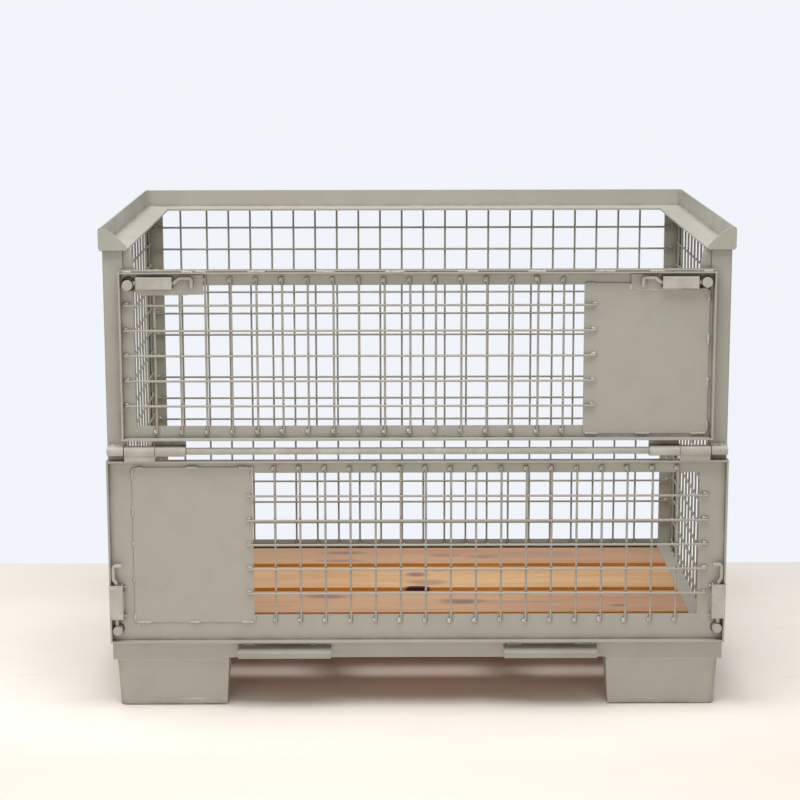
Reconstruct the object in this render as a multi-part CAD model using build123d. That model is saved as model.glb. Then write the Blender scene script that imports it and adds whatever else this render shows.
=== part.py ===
"""Wire mesh container: a box pallet with mesh walls, a board floor, four feet and a two-piece front.

Millimetres, +Z up, +X along the long side, -Y out of the opening front. The origin is on the
floor, at the bottom centre of the container's bounding box.
"""
import os

from build123d import *

# ---- overall size -------------------------------------------------------------------------
LENGTH = 1240.0
DEPTH = 835.0
HEIGHT = 970.0
HALF_LENGTH = LENGTH / 2
HALF_DEPTH = DEPTH / 2
SHEET = 4.0            # wall of the posts, rail and sills
FLAP_SHEET = 3.5       # wall of the flap frames' flanges
WIRE = 4.5             # wire diameter of every mesh
PITCH = 50.0           # mesh pitch
TAIL = 16.0            # how far a wire's end lies over the steel that it is welded to

# ---- corner posts -------------------------------------------------------------------------
POST_X = 614.0
POST_FRONT_Y = -391.5
POST_BACK_Y = 406.0
POST_FRONT_INNER_X = 574.5
POST_BACK_INNER_X = 579.5
POST_SIDE_LEG = 80.0
BEND = 4.0             # outside radius of a bend

# ---- stacking rail ------------------------------------------------------------------------
LEDGE_Z = 928.0
LEDGE_WIDTH = 57.0
RAIL_FRONT_Y = -402.0

# ---- floor --------------------------------------------------------------------------------
FOOT_TOP = 98.0
SHELF_TOP = 104.0
FLOOR_TOP = 127.0
BOARDS_Y = [(243.0, 379.0), (39.0, 209.0), (-154.0, 6.5), (-358.0, -190.0)]
BOARD_EASE = 2.0
BOARD_HALF_LENGTH = 577.0
SHELF_Y = 340.0
SHELF_X = 540.0
SIDE_SILL_TOP_X = 609.0
FRONT_SILL_TOP = 145.0
FRONT_SILL_RAISE = 3.8    # between the feet its lower edge is this much higher
BACK_SILL_TOP = 141.5
BEARER_WIDTH = 60.0
BEARER_X = (-480.0, -180.0, 180.0, 480.0)

# ---- feet and fork guards -----------------------------------------------------------------
FOOT_OUTER_X = 606.5
FOOT_INNER_X = 380.0
FOOT_FRONT_Y = 389.5
FOOT_SIDE_LEG = 205.0
FOOT_WIDTH = 62.0
FOOT_LEAN = 5.5        # how far each wall leans in from top to sole
FOOT_CORNER = 14.0
FOOT_SOLE_ROUND = 3.0
GUARD_X = (174.0, 360.0)

# ---- hinge --------------------------------------------------------------------------------
AXIS_Y = -406.5
AXIS_Z = 530.5
ROD_R = 7.0
ROD_END_X = 612.5
SLEEVE_R = 10.6
SLEEVE_GAP = 0.08
SADDLE_X = (580.0, 612.0)
SADDLE_R = 9.5
LOWER_SLEEVE_X = (518.0, 578.0)
UPPER_SLEEVE_X = (457.0, 517.0)

# ---- flaps --------------------------------------------------------------------------------
WEB_BACK_Y = -392.5
WEB_FRONT_Y = -396.5
PANEL_T = 2.0
UPPER = {"x": 582.0, "side": 555.0, "z0": 552.5, "z1": 887.0, "low": 579.0, "high": 859.0, "lip": -415.5}
LOWER = {"x": 615.0, "side": 560.5, "z0": 137.5, "z1": 510.5, "low": 192.5, "high": 484.0, "lip": -411.0}
UPPER_PANEL_X = (326.0, 571.0)
UPPER_PANEL_Z = (563.0, 849.5)
UPPER_PANEL_TONGUE_X = (326.0, 416.0)    # beside the latch plate the panel reaches the top web
UPPER_PANEL_TONGUE_TOP = 862.0
LOWER_PANEL_X = (-566.0, -327.0)
LOWER_PANEL_Z = (178.0, 496.0)
CAP_BAR_T = 3.5

# ---- meshes: first wire, number of wires --------------------------------------------------
UPPER_WIRES_X = (-513.7, 17)
UPPER_WIRES_Z = (620.0, 5)
LOWER_WIRES_X = (-283.1, 17)
LOWER_WIRES_Z = (238.0, 5)
BACK_WIRES_X = (-477.9, 21)
BACK_EXTRA_X = -538.3
BACK_WIRES_Z = (185.4, 15)
SIDE_WIRES_Y = (-355.0, 15)
SIDE_WIRES_Z = (154.0, 15)

# ---- latches ------------------------------------------------------------------------------
BOLT_R = 3.75
BOLT_Y = -408.0
BOLT_BEND = 5.0
BORE_GAP = 0.08
TIP_GAP = 0.5          # at rest a bolt's tip is this far short of its stud
STUD_TIP_Y = -415.5
STUD_HOLE_R = 4.25     # cross hole in a stud, which takes the bolt
UPPER_STUD_X = 564.0
UPPER_STUD_R = 10.5
UPPER_STUD_Z = {-1: 861.0, 1: 865.0}
UPPER_HOLE_R = 15.3
UPPER_HOLE_X = 561.5
UPPER_HOLE_Z = 863.0
UPPER_BOLT_Z = 865.0
LOWER_STUD_X = 600.0
LOWER_STUD_R = 9.5
LOWER_STUD_Z = {-1: 164.0, 1: 167.0}
LOWER_HOLE_R = 11.7
LOWER_HOLE = (599.7, 165.5)
LOWER_BOLT_X = 601.5
BARREL_WALL = 2.5
BARREL_END = 10.0      # length of the bored block that guides the bolt
UPPER_BARREL_X = (477.0, 547.0)
UPPER_BARREL_Z = (853.0, 877.0)
LOWER_BARREL_X = (588.0, 615.0)
LOWER_BARREL_Z = (188.0, 258.0)
BARREL_FRONT_Y = -416.5
PLATE_FRONT_Y = -399.5
PLATE_X = (417.0, 548.0)
PLATE_TOP = 880.0
PLATE_BOTTOM = {-1: 841.0, 1: 850.0}

SIDES = {-1: "left", 1: "right"}


# ---- helpers ------------------------------------------------------------------------------
def block(x, y, z):
    """A box between two values on each axis, in either order."""
    spans = [sorted(v) for v in (x, y, z)]
    size = [b - a for a, b in spans]
    centre = [(a + b) / 2 for a, b in spans]
    return Pos(*centre) * Box(*size)


def outline(points, rounds=None):
    """A face in XY from corner points. rounds maps a corner's index to its radius."""
    face = make_face(Polyline(*points, close=True))
    for index, radius in (rounds or {}).items():
        corner = Vector(*points[index], 0)
        vertex = min(face.vertices(), key=lambda v: (Vector(*v) - corner).length)
        face = fillet(vertex, radius)
    return face


def along_x(face, x0, x1):
    """The face's X and Y become Y and Z, drawn out from x0 to x1."""
    return Plane((x0, 0, 0), x_dir=(0, 1, 0), z_dir=(1, 0, 0)) * extrude(face, x1 - x0)


def along_y(face, y0, y1):
    """The face's X and Y become X and Z, drawn out from y0 to y1."""
    return Plane((0, y1, 0), x_dir=(1, 0, 0), z_dir=(0, -1, 0)) * extrude(face, y1 - y0)


def along_z(face, z0, z1):
    return Pos(0, 0, z0) * extrude(face, z1 - z0)


def rod_x(radius, x0, x1, y, z):
    return Pos((x0 + x1) / 2, y, z) * Rot(0, 90, 0) * Cylinder(radius, abs(x1 - x0))


def rod_y(radius, y0, y1, x, z):
    return Pos(x, (y0 + y1) / 2, z) * Rot(90, 0, 0) * Cylinder(radius, abs(y1 - y0))


def rod_z(radius, z0, z1, x, y):
    return Pos(x, y, (z0 + z1) / 2) * Cylinder(radius, abs(z1 - z0))


def mirrored(side, shape):
    """Shapes are drawn on the +X side. side -1 gives the left one."""
    return shape if side > 0 else mirror(shape, Plane.YZ)


def save(name, *shapes):
    solids = [s for shape in shapes for s in shape.solids()]
    result = solids[0] if len(solids) == 1 else Compound(solids)
    export_step(result, f"parts/{name}.step")


def places(first_and_count):
    first, count = first_and_count
    return [first + PITCH * i for i in range(count)]


# ---- corner posts, studs and their plates --------------------------------------------------
def post(front):
    """An angle: one leg faces front or back, the other lies along the side."""
    face_y = POST_FRONT_Y if front else POST_BACK_Y
    inward = 1 if front else -1
    inner_x = POST_FRONT_INNER_X if front else POST_BACK_INNER_X
    leg_end = face_y + inward * POST_SIDE_LEG
    inside_y = face_y + inward * SHEET
    points = [
        (POST_X, face_y),
        (POST_X, leg_end),
        (POST_X - SHEET, leg_end),
        (POST_X - SHEET, inside_y),
        (inner_x, inside_y),
        (inner_x, face_y),
    ]
    return along_z(outline(points, {0: BEND}), FOOT_TOP, LEDGE_Z)


def stud_plate():
    """A plate behind the front post's edge that carries the upper stud."""
    points = [(606, 812), (575, 812), (552, 846), (552, 888), (558, LEDGE_Z), (606, LEDGE_Z)]
    back = POST_FRONT_Y + SHEET
    return along_y(outline(points, {2: 6, 3: 6}), back, back + SHEET)


def stud(side, upper):
    """A round stud with a chamfered end and a blind cross hole for the bolt's tip."""
    if upper:
        x, z, radius, root = UPPER_STUD_X, UPPER_STUD_Z[side], UPPER_STUD_R, POST_FRONT_Y + SHEET
        hole = rod_x(STUD_HOLE_R, x - radius - 1, x - 1, BOLT_Y, UPPER_BOLT_Z)
    else:
        x, z, radius, root = LOWER_STUD_X, LOWER_STUD_Z[side], LOWER_STUD_R, POST_FRONT_Y
        hole = rod_z(STUD_HOLE_R, z + 1, z + radius + 1, LOWER_BOLT_X, BOLT_Y)
    body = rod_y(radius, root, STUD_TIP_Y, x, z)
    body = chamfer(body.edges().group_by(Axis.Y)[0], 1.0)
    return mirrored(side, body - hole)


# ---- stacking rail ------------------------------------------------------------------------
def rail_side():
    """An angle with its ledge inward and its lip outside, mitred at the rear corner."""
    profile = outline(
        [
            (HALF_LENGTH - LEDGE_WIDTH, LEDGE_Z),
            (HALF_LENGTH, LEDGE_Z),
            (HALF_LENGTH, HEIGHT),
            (HALF_LENGTH - SHEET, HEIGHT),
            (HALF_LENGTH - SHEET, LEDGE_Z + SHEET),
            (HALF_LENGTH - LEDGE_WIDTH, LEDGE_Z + SHEET),
        ],
        {1: BEND, 2: 1.5, 4: 2},
    )
    bar = along_y(profile, RAIL_FRONT_Y + SHEET, HALF_DEPTH)
    reach = 2 * LEDGE_WIDTH
    wedge = outline(
        [
            (HALF_LENGTH, HALF_DEPTH),
            (HALF_LENGTH - reach, HALF_DEPTH - reach),
            (HALF_LENGTH - reach, HALF_DEPTH),
        ]
    )
    return bar - along_z(wedge, LEDGE_Z - 10, HEIGHT + 10)


def rail_back():
    profile = outline(
        [
            (HALF_DEPTH - LEDGE_WIDTH, LEDGE_Z),
            (HALF_DEPTH, LEDGE_Z),
            (HALF_DEPTH, HEIGHT),
            (HALF_DEPTH - SHEET, HEIGHT),
            (HALF_DEPTH - SHEET, LEDGE_Z + SHEET),
            (HALF_DEPTH - LEDGE_WIDTH, LEDGE_Z + SHEET),
        ],
        {1: BEND, 2: 1.5, 4: 2},
    )
    bar = along_x(profile, -HALF_LENGTH, HALF_LENGTH)
    reach = 2 * LEDGE_WIDTH
    for side in SIDES:
        wedge = outline(
            [
                (side * HALF_LENGTH, HALF_DEPTH),
                (side * (HALF_LENGTH - reach), HALF_DEPTH - reach),
                (side * HALF_LENGTH, HALF_DEPTH - reach),
            ]
        )
        bar -= along_z(wedge, LEDGE_Z - 10, HEIGHT + 10)
    return bar


def rail_end():
    """The gusset that closes the rail's front end."""
    inner = HALF_LENGTH - LEDGE_WIDTH
    points = [
        (inner, LEDGE_Z),
        (HALF_LENGTH, LEDGE_Z),
        (HALF_LENGTH, HEIGHT),
        (HALF_LENGTH - 13, HEIGHT),
        (HALF_LENGTH - 32, HEIGHT - 12),
        (inner + 3, LEDGE_Z + 9),
    ]
    face = outline(points, {0: 3, 1: 6, 2: 6, 3: 8, 4: 30, 5: 4})
    return along_y(face, RAIL_FRONT_Y, RAIL_FRONT_Y + SHEET)


# ---- sills, bearers and boards -------------------------------------------------------------
def sill_front():
    web = block((-POST_FRONT_INNER_X, POST_FRONT_INNER_X), (POST_FRONT_Y, POST_FRONT_Y + SHEET),
                (FOOT_TOP, FRONT_SILL_TOP))
    shelf = block((-SHELF_X, SHELF_X), (POST_FRONT_Y + SHEET, -SHELF_Y), (FOOT_TOP, SHELF_TOP))
    raised = block((-FOOT_INNER_X, FOOT_INNER_X), (POST_FRONT_Y, -SHELF_Y),
                   (FOOT_TOP, FOOT_TOP + FRONT_SILL_RAISE))
    return web + shelf - raised


def sill_back():
    web = block((-POST_BACK_INNER_X, POST_BACK_INNER_X), (POST_BACK_Y - SHEET, POST_BACK_Y),
                (FOOT_TOP, BACK_SILL_TOP))
    shelf = block((-SHELF_X, SHELF_X), (SHELF_Y, POST_BACK_Y - SHEET), (FOOT_TOP, SHELF_TOP))
    return web + shelf


def sill_side():
    """A shelf under the board ends, an upright against them and a strip level with the floor."""
    points = [
        (SHELF_X, FOOT_TOP),
        (POST_X - SHEET, FOOT_TOP),
        (POST_X - SHEET, SHELF_TOP),
        (BOARD_HALF_LENGTH + SHEET, SHELF_TOP),
        (BOARD_HALF_LENGTH + SHEET, FLOOR_TOP - SHEET),
        (SIDE_SILL_TOP_X, FLOOR_TOP - SHEET),
        (SIDE_SILL_TOP_X, FLOOR_TOP),
        (BOARD_HALF_LENGTH, FLOOR_TOP),
        (BOARD_HALF_LENGTH, SHELF_TOP),
        (SHELF_X, SHELF_TOP),
    ]
    return along_y(outline(points, {7: 1.5}), POST_FRONT_Y + SHEET, POST_BACK_Y - SHEET)


def bearers():
    half = BEARER_WIDTH / 2
    return [block((x - half, x + half), (-SHELF_Y, SHELF_Y), (FOOT_TOP, SHELF_TOP)) for x in BEARER_X]


def board(front, back):
    """Its long top edges are eased."""
    points = [(front, SHELF_TOP), (back, SHELF_TOP), (back, FLOOR_TOP), (front, FLOOR_TOP)]
    face = outline(points, {2: BOARD_EASE, 3: BOARD_EASE})
    return along_x(face, -BOARD_HALF_LENGTH, BOARD_HALF_LENGTH)


# ---- feet and fork guards -----------------------------------------------------------------
def foot_plan(front, inset, z):
    """The foot's L-shaped outline at height z, drawn in by inset on every side."""
    sign = -1 if front else 1
    outer_x, outer_y = FOOT_OUTER_X - inset, FOOT_FRONT_Y - inset
    arm_x = FOOT_OUTER_X - FOOT_WIDTH + inset
    arm_y = FOOT_FRONT_Y - FOOT_WIDTH + inset
    end_x = FOOT_INNER_X + inset
    end_y = FOOT_FRONT_Y - FOOT_SIDE_LEG + inset
    corners = [
        (outer_x, outer_y),
        (outer_x, end_y),
        (arm_x, end_y),
        (arm_x, arm_y),
        (end_x, arm_y),
        (end_x, outer_y),
    ]
    return Pos(0, 0, z) * outline([(x, sign * y) for x, y in corners])


def foot(front):
    """A pressed tub, L-shaped in plan and open at the top, whose walls lean in downwards."""
    outer = loft([foot_plan(front, 0, FOOT_TOP), foot_plan(front, FOOT_LEAN, 0)], ruled=True)
    inner = loft(
        [foot_plan(front, SHEET, FOOT_TOP), foot_plan(front, SHEET + FOOT_LEAN, SHEET)], ruled=True
    )
    uprights = outer.edges().filter_by(lambda edge: abs((edge @ 0 - edge @ 1).Z) > FOOT_TOP / 2)
    corner = uprights.sort_by(lambda edge: abs((edge @ 0.5).X) + abs((edge @ 0.5).Y))[-1]
    outer = fillet(corner, FOOT_CORNER)
    outer = fillet(outer.edges().group_by(Axis.Z)[0], FOOT_SOLE_ROUND)
    return outer - inner


def fork_guard():
    """A bent plate under the front flap that leads the forks in."""
    lip = -HALF_DEPTH
    points = [
        (POST_FRONT_Y, 129),
        (POST_FRONT_Y, 124.5),
        (lip + SHEET, 116),
        (lip + SHEET, 107),
        (lip, 107),
        (lip, 119.5),
    ]
    return along_x(outline(points, {2: 3, 5: 5}), *GUARD_X)


# ---- hinge --------------------------------------------------------------------------------
def saddle():
    """Holds the rod to the post's face."""
    bracket = block(SADDLE_X, (AXIS_Y, POST_FRONT_Y), (AXIS_Z - SADDLE_R, AXIS_Z + SADDLE_R))
    bracket += rod_x(SADDLE_R, *SADDLE_X, AXIS_Y, AXIS_Z)
    return bracket - rod_x(ROD_R, SADDLE_X[0] - 1, SADDLE_X[1] + 1, AXIS_Y, AXIS_Z)


def knuckle(upper):
    """A sleeve on the rod with the plate that joins it to its flap."""
    if upper:
        x, y, z = UPPER_SLEEVE_X, (AXIS_Y + SLEEVE_R - SHEET, AXIS_Y + SLEEVE_R), (AXIS_Z, UPPER["z0"])
    else:
        x, y, z = LOWER_SLEEVE_X, (AXIS_Y - 5.5, AXIS_Y + 5.5), (LOWER["z1"], AXIS_Z)
    body = rod_x(SLEEVE_R, *x, AXIS_Y, AXIS_Z) + block(x, y, z)
    return body - rod_x(ROD_R + SLEEVE_GAP, x[0] - 1, x[1] + 1, AXIS_Y, AXIS_Z)


# ---- flap frames --------------------------------------------------------------------------
def flap_top(flap):
    web_x = flap["x"] - FLAP_SHEET
    lip_z = flap["z1"] - FLAP_SHEET
    web = block((-web_x, web_x), (WEB_BACK_Y, WEB_FRONT_Y), (flap["high"], lip_z))
    lip = block((-flap["x"], flap["x"]), (WEB_BACK_Y, flap["lip"]), (lip_z, flap["z1"]))
    return web + lip


def flap_bottom(flap):
    web_x = flap["x"] - FLAP_SHEET
    lip_z = flap["z0"] + FLAP_SHEET
    web = block((-web_x, web_x), (WEB_BACK_Y, WEB_FRONT_Y), (lip_z, flap["low"]))
    lip = block((-flap["x"], flap["x"]), (WEB_BACK_Y, flap["lip"]), (flap["z0"], lip_z))
    return web + lip


def flap_side(flap):
    web_x = flap["x"] - FLAP_SHEET
    web = block((flap["side"], web_x), (WEB_BACK_Y, WEB_FRONT_Y), (flap["low"], flap["high"]))
    lip_z = (flap["z0"] + FLAP_SHEET, flap["z1"] - FLAP_SHEET)
    lip = block((web_x, flap["x"]), (WEB_BACK_Y, flap["lip"]), lip_z)
    return web + lip


def upper_stud_holes():
    return [
        rod_y(UPPER_HOLE_R, WEB_BACK_Y + 1, WEB_FRONT_Y - 1, side * UPPER_HOLE_X, UPPER_HOLE_Z)
        for side in SIDES
    ]


def lower_stud_holes():
    x, z = LOWER_HOLE
    return [rod_y(LOWER_HOLE_R, WEB_BACK_Y + 1, WEB_FRONT_Y - 1, side * x, z) for side in SIDES]


def cap_bar():
    """A flat bar along the upper flap's top flange."""
    x = UPPER["x"] - 3
    lip = UPPER["lip"]
    z0, z1 = UPPER["z1"], UPPER["z1"] + CAP_BAR_T
    points = [(lip + 20, z0), (lip + 1, z0), (lip, z0 + 1), (lip, z1), (lip + 20, z1)]
    return along_x(outline(points, {3: 0.8}), -x, x)


def panel(x, z):
    return block(x, (WEB_FRONT_Y - PANEL_T, WEB_FRONT_Y), z)


# ---- wire meshes --------------------------------------------------------------------------
def flap_mesh(wires_x, wires_z, bottom, tops, span_x):
    """Upright wires lie on the frame, cross wires lie in front of them. tops gives each
    upright's top end."""
    upright_y = WEB_FRONT_Y - WIRE / 2
    cross_y = upright_y - WIRE
    uprights = [
        rod_z(WIRE / 2, bottom, top, x, upright_y) for x, top in zip(places(wires_x), tops)
    ]
    return uprights + [rod_x(WIRE / 2, *span_x, cross_y, z) for z in places(wires_z)]


def upper_mesh():
    top = UPPER["high"] + TAIL
    tops = [
        PLATE_BOTTOM[-1] if -PLATE_X[1] < x < -PLATE_X[0] - WIRE / 2 else top
        for x in places(UPPER_WIRES_X)
    ]
    span = (-(UPPER["side"] + TAIL + 3), UPPER_PANEL_X[0] + 23)
    return flap_mesh(UPPER_WIRES_X, UPPER_WIRES_Z, UPPER["low"] - TAIL, tops, span)


def lower_mesh():
    tops = [LOWER["high"] + TAIL - 2] * LOWER_WIRES_X[1]
    span = (LOWER_PANEL_X[1] - 12, LOWER["side"] + TAIL)
    return flap_mesh(LOWER_WIRES_X, LOWER_WIRES_Z, LOWER["low"] - TAIL, tops, span)


def back_mesh():
    upright_y = POST_BACK_Y - SHEET - WIRE / 2
    cross_y = upright_y - WIRE
    end = POST_BACK_INNER_X + TAIL + 4
    uprights = [
        rod_z(WIRE / 2, FLOOR_TOP, LEDGE_Z, x, upright_y) for x in [BACK_EXTRA_X, *places(BACK_WIRES_X)]
    ]
    return uprights + [rod_x(WIRE / 2, -end, end, cross_y, z) for z in places(BACK_WIRES_Z)]


def side_mesh():
    upright_x = POST_X - SHEET - WIRE / 2
    cross_x = upright_x - WIRE
    front = POST_FRONT_Y + POST_SIDE_LEG - TAIL - 4
    back = POST_BACK_Y - POST_SIDE_LEG + TAIL + 4
    uprights = [rod_z(WIRE / 2, FLOOR_TOP, LEDGE_Z, upright_x, y) for y in places(SIDE_WIRES_Y)]
    return uprights + [rod_y(WIRE / 2, front, back, cross_x, z) for z in places(SIDE_WIRES_Z)]


# ---- latches ------------------------------------------------------------------------------
def upper_barrel():
    x0, x1 = UPPER_BARREL_X
    z0, z1 = UPPER_BARREL_Z
    wall = BARREL_WALL
    shell = block((x0, x1), (PLATE_FRONT_Y, BARREL_FRONT_Y), (z0, z1))
    shell = fillet(shell.edges().filter_by(Axis.X).group_by(Axis.Y)[0], 2.0)
    inside = (PLATE_FRONT_Y - wall, BARREL_FRONT_Y + wall)
    shell -= block((x0 - 1, x1 - BARREL_END), inside, (z0 + wall, z1 - wall))
    return shell - rod_x(BOLT_R + BORE_GAP, x1 - BARREL_END - 1, x1 + 1, BOLT_Y, UPPER_BOLT_Z)


def lower_barrel():
    x0, x1 = LOWER_BARREL_X
    z0, z1 = LOWER_BARREL_Z
    wall = BARREL_WALL
    shell = block((x0, x1), (WEB_FRONT_Y, BARREL_FRONT_Y), (z0, z1))
    shell = fillet(shell.edges().filter_by(Axis.Z).group_by(Axis.Y)[0], 2.0)
    inside = (WEB_FRONT_Y - wall - 3, BARREL_FRONT_Y + wall)
    shell -= block((x0 + wall, x1 - wall), inside, (z0 + BARREL_END, z1 + 1))
    return shell - rod_z(BOLT_R + BORE_GAP, z0 - 1, z0 + BARREL_END + 1, LOWER_BOLT_X, BOLT_Y)


def bent_rod(points, across, along):
    """A round rod bent in the plane y = BOLT_Y. along is its direction at the first point, the tip."""
    path = FilletPolyline(*[(x, BOLT_Y, z) for x, z in points], radius=BOLT_BEND)
    start = Vector(points[0][0], BOLT_Y, points[0][1])
    rod = sweep(Plane(start, x_dir=across, z_dir=along) * Circle(BOLT_R), path)
    tip = min(rod.faces(), key=lambda face: (face.center() - start).length)
    return chamfer(tip.edges(), 0.8)


def upper_bolt():
    """The sliding bolt, with a handle bent out of the same rod."""
    tip = UPPER_STUD_X - UPPER_STUD_R - TIP_GAP
    z = UPPER_BOLT_Z
    points = [(tip, z), (474, z), (463, z + 9.5), (440, z + 9.5), (440, z - 10)]
    return bent_rod(points, (0, 1, 0), (-1, 0, 0))


def lower_bolt(side):
    tip = LOWER_STUD_Z[side] + LOWER_STUD_R + TIP_GAP
    x = LOWER_BOLT_X
    points = [(x, tip), (x, 261), (x + 5.5, 270), (x + 5.5, 297), (x - 13, 297)]
    return bent_rod(points, (1, 0, 0), (0, 0, 1))


def latch_plate(side):
    return block(PLATE_X, (WEB_FRONT_Y, PLATE_FRONT_Y), (PLATE_BOTTOM[side], PLATE_TOP))


# ---- the assembly -------------------------------------------------------------------------
def build_base():
    for side, word in SIDES.items():
        save(f"front_post_{word}", mirrored(side, post(True)))
        save(f"back_post_{word}", mirrored(side, post(False)))
        save(f"rail_{word}", mirrored(side, rail_side()))
        save(f"rail_end_{word}", mirrored(side, rail_end()))
        save(f"sill_{word}", mirrored(side, sill_side()))
        save(f"foot_front_{word}", mirrored(side, foot(True)))
        save(f"foot_back_{word}", mirrored(side, foot(False)))
        save(f"fork_guard_{word}", mirrored(side, fork_guard()))
        save(f"mesh_{word}", *[mirrored(side, wire) for wire in side_mesh()])
    save("rail_back", rail_back())
    save("sill_front", sill_front())
    save("sill_back", sill_back())
    save("floor_bearers", *bearers())
    save("mesh_back", *back_mesh())
    save("hinge_rod", rod_x(ROD_R, -ROD_END_X, ROD_END_X, AXIS_Y, AXIS_Z))
    save("rod_saddles", *[mirrored(side, saddle()) for side in SIDES])
    save("stud_plates", *[mirrored(side, stud_plate()) for side in SIDES])
    save("upper_studs", *[stud(side, True) for side in SIDES])
    save("lower_studs", *[stud(side, False) for side in SIDES])
    for index, edges in enumerate(BOARDS_Y):
        save(f"floor_board_{index + 1}", board(*edges))


def build_upper_flap():
    top, *sides = flap_top(UPPER), *[mirrored(side, flap_side(UPPER)) for side in SIDES]
    for hole in upper_stud_holes():
        top -= hole
        sides = [member - hole for member in sides]
    save("upper_flap_top", top)
    save("upper_flap_bottom", flap_bottom(UPPER))
    save("upper_flap_cap_bar", cap_bar())
    tongue = panel(UPPER_PANEL_TONGUE_X, (UPPER_PANEL_Z[1], UPPER_PANEL_TONGUE_TOP))
    save("upper_flap_panel", panel(UPPER_PANEL_X, UPPER_PANEL_Z) + tongue)
    save("upper_flap_mesh", *upper_mesh())
    save("upper_flap_knuckles", *[mirrored(side, knuckle(True)) for side in SIDES])
    for (side, word), member in zip(SIDES.items(), sides):
        save(f"upper_flap_{word}", member)
        save(f"upper_latch_plate_{word}", mirrored(side, latch_plate(side)))
        save(f"upper_latch_barrel_{word}", mirrored(side, upper_barrel()))
        save(f"upper_latch_bolt_{word}", mirrored(side, upper_bolt()))


def build_lower_flap():
    bottom = flap_bottom(LOWER)
    for hole in lower_stud_holes():
        bottom -= hole
    save("lower_flap_top", flap_top(LOWER))
    save("lower_flap_bottom", bottom)
    save("lower_flap_panel", panel(LOWER_PANEL_X, LOWER_PANEL_Z))
    save("lower_flap_mesh", *lower_mesh())
    save("lower_flap_knuckles", *[mirrored(side, knuckle(False)) for side in SIDES])
    notch = block(LOWER_BARREL_X, (WEB_FRONT_Y, BARREL_FRONT_Y), LOWER_BARREL_Z)
    for side, word in SIDES.items():
        save(f"lower_flap_{word}", mirrored(side, flap_side(LOWER) - notch))
        save(f"lower_latch_barrel_{word}", mirrored(side, lower_barrel()))
        save(f"lower_latch_bolt_{word}", mirrored(side, lower_bolt(side)))


os.makedirs("parts", exist_ok=True)
build_base()
build_upper_flap()
build_lower_flap()
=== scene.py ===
"""Looks of the wire mesh container: paint, weld beads, floor boards, studio floor and light.

Metres, +Z up, -Y out of the opening front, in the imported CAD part's own frame.
"""

import math
import random

import bmesh
import bpy
from mathutils import Euler, Matrix, Vector, noise


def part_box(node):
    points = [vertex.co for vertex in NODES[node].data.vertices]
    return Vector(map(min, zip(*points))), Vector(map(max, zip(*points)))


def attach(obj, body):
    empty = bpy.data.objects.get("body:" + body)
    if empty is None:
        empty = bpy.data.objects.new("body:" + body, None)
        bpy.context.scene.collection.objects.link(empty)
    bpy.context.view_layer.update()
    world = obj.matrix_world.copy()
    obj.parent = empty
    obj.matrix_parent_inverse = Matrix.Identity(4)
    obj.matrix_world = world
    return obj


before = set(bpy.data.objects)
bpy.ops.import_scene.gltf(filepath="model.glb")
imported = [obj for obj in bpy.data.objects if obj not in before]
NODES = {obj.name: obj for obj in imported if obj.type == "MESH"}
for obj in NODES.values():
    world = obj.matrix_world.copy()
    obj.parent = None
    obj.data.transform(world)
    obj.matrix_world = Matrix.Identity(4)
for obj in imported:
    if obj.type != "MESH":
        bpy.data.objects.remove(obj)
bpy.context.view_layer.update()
MM = 0.001
SIDES = {-1: "left", 1: "right"}
LEFT = Vector((-1, 0, 0))
RIGHT = Vector((1, 0, 0))
FRONT = Vector((0, -1, 0))
BACK = Vector((0, 1, 0))
UP = Vector((0, 0, 1))
DOWN = Vector((0, 0, -1))

# ---- where the camera stands ----------------------------------------------------------------
CAMERA_PLACE = (-0.0437, -4.5799, 1.4271)
CAMERA_PITCH = math.radians(10.78)
CAMERA_YAW = -0.0026
CAMERA_ROLL = 0.0018
CAMERA_SENSOR = 36.0
CAMERA_LENS = 97.3

# ---- wire mesh, as in the CAD part: the first wire's place and how many there are ------------
PITCH = 50 * MM
UPPER_WIRES_X = (-513.7 * MM, 17)
UPPER_WIRES_Z = (620 * MM, 5)
LOWER_WIRES_X = (-283.1 * MM, 17)
LOWER_WIRES_Z = (238 * MM, 5)
BACK_WIRES_X = (-477.9 * MM, 21)
BACK_EXTRA_X = -538.3 * MM
BACK_WIRES_Z = (185.4 * MM, 15)
SIDE_WIRES_Y = (-355 * MM, 15)
SIDE_WIRES_Z = (154 * MM, 15)
SIDE_CROSS_ENDS = ((-331.5 * MM, 1), (346 * MM, -1))     # ends between the posts, and the way inwards

# ---- welds and where they lie ---------------------------------------------------------------
RIPPLE = 2.4 * MM               # from one ripple of a bead to the next
STATION = 0.8 * MM              # from one ring of points to the next
PROFILE = 7                     # points over a bead's back
FLAP_WEB_Y = -396.5 * MM        # front face of the flaps' webs
TONGUE_Y = -398 * MM            # the upper panel's tongue behind the right latch
TONGUE_TOP = 862 * MM
KNUCKLE_FOOT_Y = (-409.5 * MM, -399 * MM)
FRONT_POST_Y = -391.5 * MM
SADDLE_FOOT_Y = -392.3 * MM
RAIL_FRONT_Y = -398 * MM
RAIL_FOOT_Z = 928 * MM
LEDGE_Z = 932 * MM

# ---- colours, linear ------------------------------------------------------------------------
def from_srgb(r, g, b):
    """Linear colour from 0-255 display values."""
    linear = [((v / 255 + 0.055) / 1.055) ** 2.4 for v in (r, g, b)]
    return (*linear, 1.0)


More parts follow.
